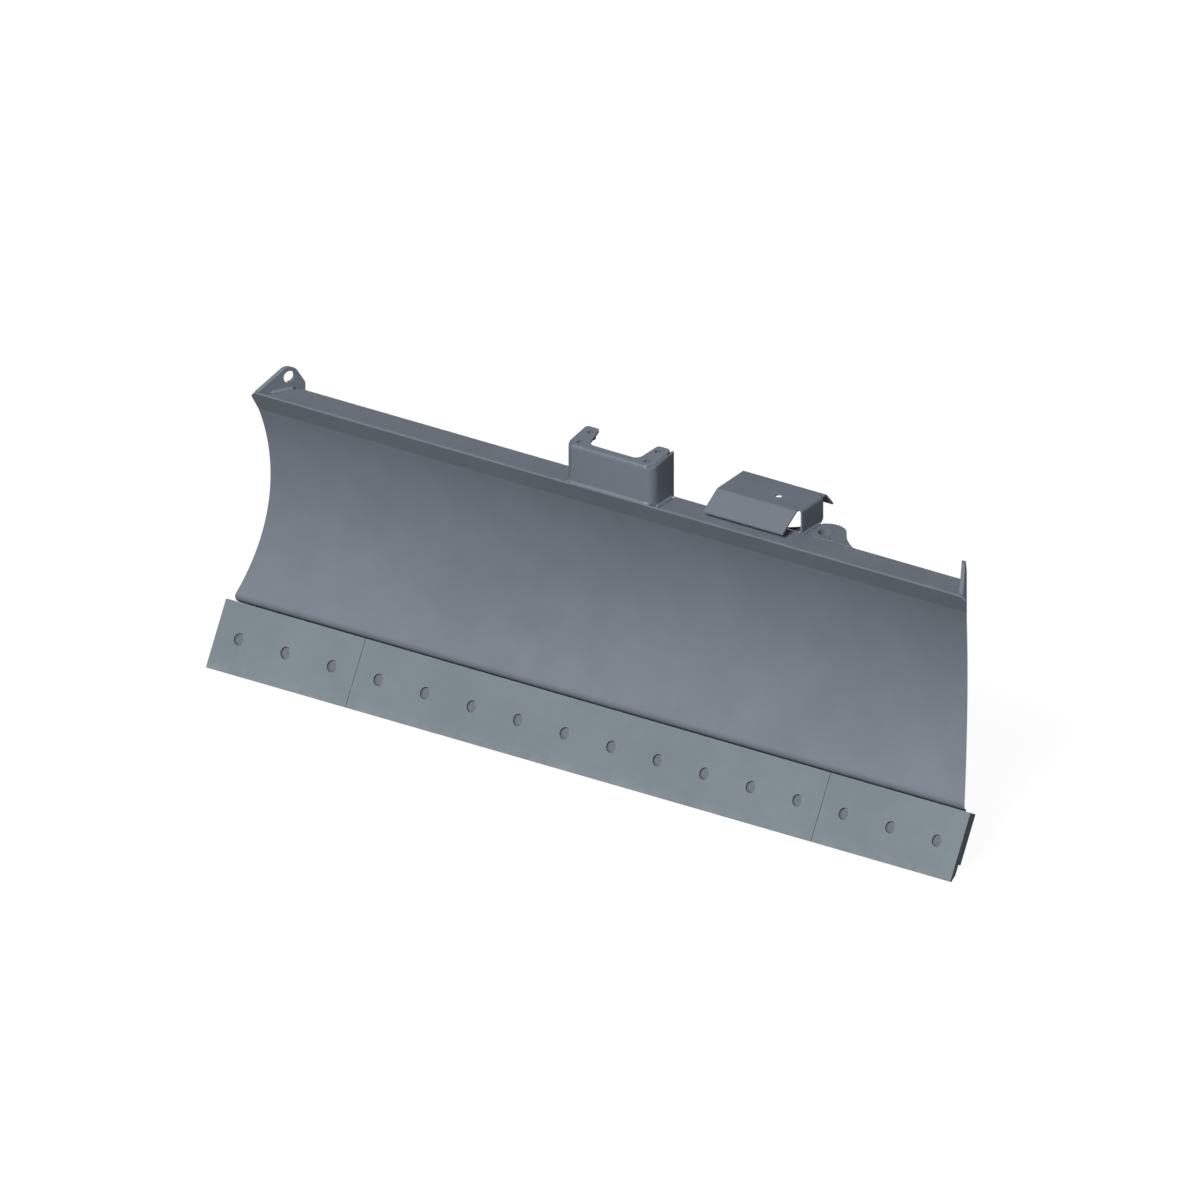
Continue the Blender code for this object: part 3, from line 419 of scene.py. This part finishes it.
def evenly(route, step):
    """A polyline cut into equal short lengths."""
    lengths = [(b - a).length for a, b in zip(route, route[1:])]
    total = sum(lengths)
    count = max(4, round(total / step))
    points = []
    index = 0
    passed = 0.0
    for number in range(count + 1):
        wanted = total * number / count
        while index < len(lengths) - 1 and passed + lengths[index] < wanted:
            passed += lengths[index]
            index += 1
        share = (wanted - passed) / lengths[index]
        points.append(route[index].lerp(route[index + 1], min(1.0, share)))
    return points


def add_bead(mesh, route, first, second, leg=WELD_LEG, loop=False):
    """One weld bead along a corner.

    first and second point away from the corner along the two plates; each is a
    vector, or a function that gives one for a point of the route.
    """
    step = RIPPLE / RINGS_PER_RIPPLE
    points = evenly(route, step)
    if loop:
        points = points[:-1]
    rings = []
    last = len(points) - 1
    for index, point in enumerate(points):
        before = points[index - 1] if index or loop else point
        after = points[(index + 1) % len(points)] if index < last or loop else point
        heading = (after - before).normalized()
        one = first(point) if callable(first) else first
        two = second(point) if callable(second) else second
        phase = 2.0 * math.pi * index / RINGS_PER_RIPPLE
        size = leg * (1.0 + RIPPLE_DEPTH * math.cos(phase) * 0.5)
        size *= 1.0 + 0.10 * noise.noise(point * 90.0)
        if not loop:
            ends = min(index, last - index) * step
            size *= 0.35 + 0.65 * math.sin(math.pi / 2.0 * min(1.0, ends / leg))
        ring = []
        for a, b in bead_section(size):
            lag = RIPPLE * 0.42 * 4.0 * max(0.0, a) * max(0.0, b) / (size * size)
            ring.append(mesh.verts.new(point + one * a + two * b - heading * lag))
        rings.append(ring)
    join_rings(mesh, rings, closed=not loop)


class Skin:
    """A node's packed surface, for finding where a weld runs."""

    def __init__(self, name):
        data = frame["nodes"][name].data
        points = [vertex.co for vertex in data.vertices]
        faces = [tuple(face.vertices) for face in data.polygons]
        self.tree = BVHTree.FromPolygons(points, faces)

    def hit(self, start, direction):
        place, normal, face, distance = self.tree.ray_cast(Vector(start), direction)
        return place, normal


def stretches(start, end, count, length):
    """Start and end of short beads spaced evenly along a line."""
    pitch = (end - start) / count
    half = length / 2.0
    middles = [start + pitch * (index + 0.5) for index in range(count)]
    return [(middle - half, middle + half) for middle in middles]


EDGE_LEAN = math.radians(30.0)
EDGE_IN = Y * math.cos(EDGE_LEAN) - Z * math.sin(EDGE_LEAN)
EDGE_UP = Y * math.sin(EDGE_LEAN) + Z * math.cos(EDGE_LEAN)
PLATE_TILT = math.radians(10.0)
PLATE_CORNER = 0.011
BRACKET_BEND = 0.022
BRACKET_BEAD_TURN = 45.0
BOLT_HEAD_RADIUS = 0.0122
BOLT_RADIUS = 0.00635
BOLT_NECK = 0.0079
THREAD_PITCH = 0.00195
NUT_RADIUS = 0.0108
NUT_FLANGE_RADIUS = 0.0138
MAST_NUT_RADIUS = 0.0108
MAST_NUT_BORE = 0.0052
MAST_THREAD_PITCH = 0.00175


# Stitches: (inset from each end, number, length of each)
RAIL_TOP_STITCHES = (0.10, 8, 0.055)
RAIL_FOOT_STITCHES = (0.06, 9, 0.070)
BASE_BAR_STITCHES = (0.05, 12, 0.060)
RIB_STITCHES = (4, 0.062)
THIN_LEG = 0.0045
PLATE_LEG = 0.006
EDGE_STRIP_LEG = 0.0046
HAIR_LEG = 0.0034
SEAM_STEPS = 17
TUBE_STEPS = 96


def line(start, end, steps=8):
    return [start.lerp(end, step / steps) for step in range(steps + 1)]


def extent(name, direction):
    """Lowest and highest reach of a node along a direction."""
    reaches = [direction.dot(vertex.co) for vertex in frame["nodes"][name].data.vertices]
    return min(reaches), max(reaches)


def down_face(face, x, rear, start, end):
    """Route down the back of the curved face, and the face's normal half way."""
    route = []
    for height in (start + (end - start) * step / 8.0 for step in range(9)):
        place = face.hit((x, rear, height), -Y)[0]
        route.append(Vector((x, place.y, height)))
    return route, face.hit((x, rear, (start + end) / 2.0), -Y)[1]


def rail_welds():
    """Stitches that join the rail to the face: on top behind the lip, and underneath."""
    low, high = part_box("top_rail")
    face = Skin("moldboard")
    mesh = bmesh.new()
    inset, count, length = RAIL_TOP_STITCHES
    for left, right in stretches(low.x + inset, high.x - inset, count, length):
        place, normal = face.hit((left, high.y, high.z + 0.001), -Y)
        route = [Vector((x, place.y, high.z)) for x in (left, right)]
        up = (Z - normal * Z.dot(normal)).normalized()
        add_bead(mesh, route, Y, up, leg=THIN_LEG)
    inset, count, length = RAIL_FOOT_STITCHES
    for left, right in stretches(low.x + inset, high.x - inset, count, length):
        place, normal = face.hit((left, high.y, low.z - 0.002), -Y)
        route = [Vector((x, place.y, low.z)) for x in (left, right)]
        down = (-Z - normal * -Z.dot(normal)).normalized()
        add_bead(mesh, route, Y, down)
    return new_piece("welds_rail", mesh, "painted_steel", 60.0)


def rib_welds():
    """Beads on both sides of each rib: down the face, under the rail, on the base bar."""
    face = Skin("moldboard")
    mesh = bmesh.new()
    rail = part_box("top_rail")[0].z
    bar = extent("base_bar", EDGE_IN)[1]
    bar_top = extent("base_bar", EDGE_UP)[1]
    for name in [node for node in frame["nodes"] if "_rib_" in node]:
        low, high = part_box(name)
        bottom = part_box("cutting_edge_center")[1].z + 0.050
        for x, away in ((low.x, -X), (high.x, X)):
            for start, end in stretches(bottom, rail - 0.006, *RIB_STITCHES):
                beside = x + away.x * 0.002
                route, rear = down_face(face, beside, high.y + 0.1, start, end)
                route = [Vector((x, point.y, point.z)) for point in route]
                add_bead(mesh, route, away, rear)
            front = face.hit((x + away.x * 0.002, high.y + 0.1, rail - 0.004), -Y)[0].y
            under = [Vector((x, y, rail)) for y in (front + 0.006, front + 0.044)]
            add_bead(mesh, under, away, -Z)
            foot = [X * x + EDGE_IN * bar + EDGE_UP * (bar_top - drop) for drop in (0.014, 0.090)]
            add_bead(mesh, foot, away, EDGE_IN)
    return new_piece("welds_ribs", mesh, "painted_steel", 60.0)


def base_bar_welds():
    """Stitches between the back of the base bar and the flange over it."""
    low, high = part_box("base_bar")
    back = extent("base_bar", EDGE_IN)[1]
    top = extent("base_bar", EDGE_UP)[1]
    mesh = bmesh.new()
    inset, count, length = BASE_BAR_STITCHES
    for left, right in stretches(low.x + inset, high.x - inset, count, length):
        if any(left < x < right for x in rib_places()):
            continue
        route = [X * x + EDGE_IN * back + EDGE_UP * top for x in (left, right)]
        add_bead(mesh, route, EDGE_IN, -EDGE_UP, leg=0.005)
    return new_piece("welds_base_bar", mesh, "painted_steel", 60.0)


def rib_places():
    places = []
    for name in [node for node in frame["nodes"] if "_rib_" in node]:
        low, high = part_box(name)
        places += [low.x, high.x]
    return places


def end_plate_welds():
    """Beads inside both end plates: on the rail's top and down the back of the face."""
    rail_low, rail_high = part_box("top_rail")
    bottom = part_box("cutting_edge_center")[1].z + 0.045
    face = Skin("moldboard")
    mesh = bmesh.new()
    for name, side in (("end_plate_left", -X), ("end_plate_right", X)):
        plate = Skin(name)
        start, normal = plate.hit((0.0, rail_low.y + 0.022, rail_high.z + 0.003), side)
        end, normal = plate.hit((0.0, rail_high.y - 0.012, rail_high.z + 0.003), side)
        inward = Vector((normal.x, normal.y, 0.0)).normalized()
        for point in (start, end):
            point.z = rail_high.z
        add_bead(mesh, line(start, end), inward, Z, leg=PLATE_LEG)
        route = []
        for step in range(SEAM_STEPS):
            share = step / (SEAM_STEPS - 1.0)
            height = bottom + (rail_low.z - 0.010 - bottom) * share
            x = side.x * (rail_high.x - 0.08)
            back = face.hit((x, rail_high.y + 0.1, height), -Y)[0]
            corner = plate.hit((0.0, back.y + 0.0008, height), side)[0]
            route.append(Vector((corner.x, back.y, height)))
        rearward = Z.cross(inward)
        if rearward.y < 0.0:
            rearward = -rearward
        add_bead(mesh, route, -side, rearward)
    return new_piece("welds_end_plates", mesh, "painted_steel", 60.0)


def bracket_welds():
    """Beads round the foot of the mast bracket and round its plate."""
    low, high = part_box("mast_bracket_wall")
    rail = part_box("top_rail")[1].z
    lip = extent("moldboard", Z)[1]
    inner = high.x - BRACKET_BEND
    mesh = bmesh.new()
    normal = Skin("moldboard").hit((0.0, low.y - 0.5, rail - 0.010), Y)[1]
    lip_down = Vector((0.0, normal.y, normal.z)).normalized()
    bend = []
    for step in range(7):
        angle = math.radians(BRACKET_BEAD_TURN) * step / 6.0
        inset = BRACKET_BEND * (1.0 - math.cos(angle))
        bend.append((inner + BRACKET_BEND * math.sin(angle), low.y + inset))
    foot = [Vector((-x, y, lip + 0.0006)) for x, y in reversed(bend)]
    foot += [Vector((x, y, lip + 0.0006)) for x, y in bend]
    add_bead(mesh, foot, lip_down, Z, leg=EDGE_STRIP_LEG)
    for x, away in ((low.x, -X), (high.x, X)):
        side = [Vector((x, y, rail)) for y in (low.y + BRACKET_BEND * 0.55, high.y - 0.004)]
        add_bead(mesh, side, away, Z)
    plate_low, plate_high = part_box("mast_bracket_plate")
    slope = (Y + Z * math.tan(PLATE_TILT)).normalized()
    across = X.cross(slope)
    seat = plate_low.z + 0.0001
    clipped = plate_high.x - PLATE_CORNER
    front = [Vector((x, plate_low.y, seat)) for x in (-clipped, clipped)]
    add_bead(mesh, front, -slope, across, leg=EDGE_STRIP_LEG)
    for x, away in ((plate_low.x, -X), (plate_high.x, X)):
        start = Vector((x, plate_low.y, seat)) + slope * (PLATE_CORNER + 0.001)
        end = Vector((x, plate_low.y, seat)) + slope * (plate_high.y - plate_low.y - 0.010)
        add_bead(mesh, [start, end], away, across, leg=HAIR_LEG)
    return new_piece("welds_mast_bracket", mesh, "painted_steel", 60.0)


def lug_welds():
    """Beads of the cylinder lugs on the rail, and of the guard's foot on the upper lug."""
    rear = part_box("top_rail")[1].y
    mesh = bmesh.new()
    for name, ups in (("cylinder_lug_upper", (Z, -Z)), ("cylinder_lug_lower", (Z,))):
        low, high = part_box(name)
        for up in ups:
            level = high.z if up.z > 0.0 else low.z
            route = [Vector((x, rear, level)) for x in (low.x + 0.003, high.x - 0.003)]
            add_bead(mesh, route, Y, up)
    guard_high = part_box("cylinder_guard")[1]
    lug_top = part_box("cylinder_lug_upper")[1].z
    hit = Skin("cylinder_guard").hit
    probe = lug_top + 0.012
    wall = hit((guard_high.x + 0.1, (rear + guard_high.y) / 2.0, probe), -X)[0]
    front = hit((wall.x - 0.001, rear - 0.1, probe), Y)[0].y
    back = hit((wall.x - 0.001, guard_high.y + 0.1, probe), -Y)[0].y
    route = [Vector((wall.x, y, lug_top)) for y in (front + 0.002, back - 0.009)]
    add_bead(mesh, route, X, Z, leg=THIN_LEG)
    return new_piece("welds_cylinder_lugs", mesh, "painted_steel", 60.0)


def pivot_welds():
    """Rings round the pivot tube on both plates, and beads on the centre ribs."""
    low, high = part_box("pivot_tube")
    centre = (low + high) / 2.0
    radius = (high.x - low.x) / 2.0
    mesh = bmesh.new()

    def outward(point):
        return Vector((point.x - centre.x, 0.0, point.z - centre.z)).normalized()

    for name in ("pivot_rear_plate", "pivot_front_plate"):
        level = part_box(name)[1].y
        ring = []
        for step in range(TUBE_STEPS + 1):
            angle = 2.0 * math.pi * step / TUBE_STEPS
            spoke = X * math.cos(angle) + Z * math.sin(angle)
            ring.append(Vector((centre.x, level, centre.z)) + spoke * radius)
        add_bead(mesh, ring, outward, Y, leg=PLATE_LEG, loop=True)
    plate_low, plate_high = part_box("pivot_rear_plate")
    for name, away in (("center_rib_left", -X), ("center_rib_right", X)):
        rib_low, rib_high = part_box(name)
        x = rib_high.x if away.x > 0.0 else rib_low.x
        ends = (plate_low.z + 0.006, plate_high.z - 0.006)
        route = [Vector((x, plate_low.y, height)) for height in ends]
        add_bead(mesh, route, away, -Y)
    return new_piece("welds_pivot", mesh, "painted_steel", 60.0)


# ------------------------------------------------------------------------ fasteners
def end_centre(name, axis):
    """Centre of the end of a round node that comes first along an axis."""
    points = [vertex.co for vertex in frame["nodes"][name].data.vertices]
    first = min(axis.dot(point) for point in points)
    near = {tuple(round(value, 6) for value in point)
            for point in points if axis.dot(point) < first + 0.0001}
    return sum((Vector(point) for point in near), Vector()) / len(near)


def lathe(mesh, origin, axis, rows, segments, closed):
    """Skins rows of (radius rule, height rule) turned round an axis.

    Each rule is a number or a function of the angle. A closed profile makes a ring;
    an open one is shut with a face at both ends.
    """
    side = X
    other = axis.cross(side)
    rings = []
    for radius, height in rows:
        ring = []
        for step in range(segments):
            angle = 2.0 * math.pi * step / segments
            reach = radius(angle) if callable(radius) else radius
            rise = height(angle) if callable(height) else height
            spoke = side * math.cos(angle) + other * math.sin(angle)
            ring.append(mesh.verts.new(origin + axis * rise + spoke * reach))
        rings.append(ring)
    join_rings(mesh, rings, closed=not closed)


def hexagon(radius, cut):
    """Radius rule of a hexagon with a corner at angle zero, cut round by a cone."""
    def rule(angle):
        turn = angle % (math.pi / 3.0) - math.pi / 6.0
        flat = radius * math.cos(math.pi / 6.0)
        return min(flat / math.cos(turn), cut)
    return rule


def make_bolt(number):
    """Plow bolt: crowned round head with a rolled rim, shank, threaded chamfered tip."""
    node = f"edge_bolt_{number:02d}"
    origin = end_centre(node, EDGE_IN)
    radius = BOLT_HEAD_RADIUS
    length = extent(node, EDGE_IN)[1] - extent(node, EDGE_IN)[0]
    rows = [
        (0.0010, 0.00010),
        (0.0060, 0.00004),
        (radius - 0.0016, 0.0),
        (radius - 0.0006, 0.00025),
        (radius, 0.0009),
        (radius, 0.0019),
        (BOLT_RADIUS, BOLT_NECK),
        (BOLT_RADIUS, length - 0.0110),
        (BOLT_RADIUS - 0.0007, length - 0.0108),
        (BOLT_RADIUS - 0.0007, length - 0.0100),
    ]
    start, end = length - 0.0100, length - 0.0014
    for turn in range(5):
        base = start + turn * THREAD_PITCH * 0.86
        rows += [
            (BOLT_RADIUS - 0.0009, base + 0.0003),
            (BOLT_RADIUS - 0.0001, base + 0.0008),
            (BOLT_RADIUS - 0.0001, base + 0.0011),
            (BOLT_RADIUS - 0.0009, base + 0.0016),
        ]
    rows += [(BOLT_RADIUS - 0.0009, end), (BOLT_RADIUS - 0.0022, length), (0.0010, length)]
    mesh = bmesh.new()
    lathe(mesh, origin, EDGE_IN, rows, 48, closed=False)
    item = new_piece(f"plow_bolt_{number:02d}", mesh, "fastener_steel", 32.0)
    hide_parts(node)


def nut_rows(radius, bore, height, flange=0.0):
    """Profile of a chamfered hexagon nut, with a conical flange if it has one."""
    rows = [(bore + 0.0010, 0.0)]
    if flange:
        rows += [
            (flange - 0.0006, 0.0),
            (flange, 0.0005),
            (flange, 0.0012),
            (flange - 0.0006, 0.0017),
            (hexagon(radius, radius), 0.0031),
        ]
    else:
        rows += [(hexagon(radius, radius * 0.92), 0.0), (hexagon(radius, radius), 0.0011)]
    rows += [
        (hexagon(radius, radius), height - 0.0013),
        (hexagon(radius, radius * 0.95), height - 0.0005),
        (hexagon(radius, radius * 0.89), height),
        (bore + 0.0010, height),
        (bore, height - 0.0010),
    ]
    rows.append((bore, 0.0010))
    return rows


def make_nut(number):
    node = f"edge_nut_{number:02d}"
    origin = end_centre(node, EDGE_IN)
    span = extent(node, EDGE_IN)
    mesh = bmesh.new()
    rows = nut_rows(NUT_RADIUS, BOLT_RADIUS + 0.0003, span[1] - span[0], NUT_FLANGE_RADIUS)
    lathe(mesh, origin, EDGE_IN, rows, 48, closed=True)
    item = new_piece(f"flange_nut_{number:02d}", mesh, "fastener_steel", 32.0)
    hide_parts(node)


def make_mast_nut(node):
    """Weld nut under the mast plate, with its thread."""
    down = -(Z * math.cos(PLATE_TILT) - Y * math.sin(PLATE_TILT))
    origin = end_centre(node, down)
    span = extent(node, down)
    height = span[1] - span[0]
    rows = nut_rows(MAST_NUT_RADIUS, MAST_NUT_BORE, height)[:-1]
    turns = int((height - 0.002) / MAST_THREAD_PITCH)
    for turn in range(turns):
        base = height - 0.0012 - turn * MAST_THREAD_PITCH
        rows += [
            (MAST_NUT_BORE, base),
            (MAST_NUT_BORE + 0.0008, base - 0.0007),
            (MAST_NUT_BORE + 0.0008, base - 0.0009),
            (MAST_NUT_BORE, base - 0.0015),
        ]
    mesh = bmesh.new()
    lathe(mesh, origin, down, rows, 48, closed=True)
    item = new_piece(node.replace("mast_nut", "mast_weld_nut"), mesh, "fastener_steel", 32.0)
    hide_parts(node)


CREASED = {"moldboard": 4.0}

for node in frame["nodes"]:
    dress(node, 0.0006, crease=CREASED.get(node, 28.0))
rail_welds()
rib_welds()
base_bar_welds()
end_plate_welds()
bracket_welds()
lug_welds()
pivot_welds()
for count in range(1, 17):
    make_bolt(count)
    make_nut(count)
for node in [name for name in frame["nodes"] if name.startswith("mast_nut")]:
    make_mast_nut(node)


# ----------------------------------------------------------------- stage and camera
VIEW_AZIMUTH = math.radians(34.4)
VIEW_ELEVATION = math.radians(24.9)
VIEW_WIDTH = 2.4324
VIEW_TARGET = Vector((0.0, -0.1960, 0.1584))
CAMERA_DISTANCE = 11.0
FLOOR_RADIUS = 14.0


def make_floor():
    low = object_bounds()[0]
    mesh = bmesh.new()
    bmesh.ops.create_circle(mesh, cap_ends=True, radius=FLOOR_RADIUS, segments=96)
    data = bpy.data.meshes.new("studio_floor")
    mesh.to_mesh(data)
    mesh.free()
    data.materials.append(floor_material())
    floor = bpy.data.objects.new("studio_floor", data)
    floor.location.z = low.z
    floor.visible_diffuse = False
    floor.visible_glossy = False
    floor.visible_shadow = False
    bpy.context.scene.collection.objects.link(floor)


def add_sun(name, towards_light, strength, angle, colour=(1.0, 1.0, 1.0)):
    lamp = bpy.data.lights.new(name, "SUN")
    lamp.energy = strength
    lamp.angle = math.radians(angle)
    lamp.color = colour
    item = bpy.data.objects.new(name, lamp)
    item.rotation_mode = "QUATERNION"
    item.rotation_quaternion = Vector(towards_light).to_track_quat("Z", "Y")
    bpy.context.scene.collection.objects.link(item)


def make_light():
    add_sun("key_light", (0.15, -0.74, 0.65), 3.80, 18.0)
    add_sun("back_light", (-0.30, 0.95, -0.04), 2.6, 12.0)
    world = bpy.data.worlds.new("studio")
    world.use_nodes = True
    background = world.node_tree.nodes["Background"]
    background.inputs["Color"].default_value = (0.95, 0.97, 1.0, 1.0)
    background.inputs["Strength"].default_value = 0.07
    bpy.context.scene.world = world
    bpy.context.scene.view_settings.view_transform = "Standard"


def make_camera():
    level = math.cos(VIEW_ELEVATION)
    back = Vector((
        math.sin(VIEW_AZIMUTH) * level,
        -math.cos(VIEW_AZIMUTH) * level,
        math.sin(VIEW_ELEVATION),
    ))
    lens = bpy.data.cameras.new("camera")
    lens.type = "ORTHO"
    lens.ortho_scale = VIEW_WIDTH
    lens.clip_end = 60.0
    camera = bpy.data.objects.new("camera", lens)
    camera.location = VIEW_TARGET + back * CAMERA_DISTANCE
    camera.rotation_mode = "QUATERNION"
    camera.rotation_quaternion = back.to_track_quat("Z", "Y")
    bpy.context.scene.collection.objects.link(camera)
    bpy.context.scene.camera = camera


make_floor()
make_light()
make_camera()
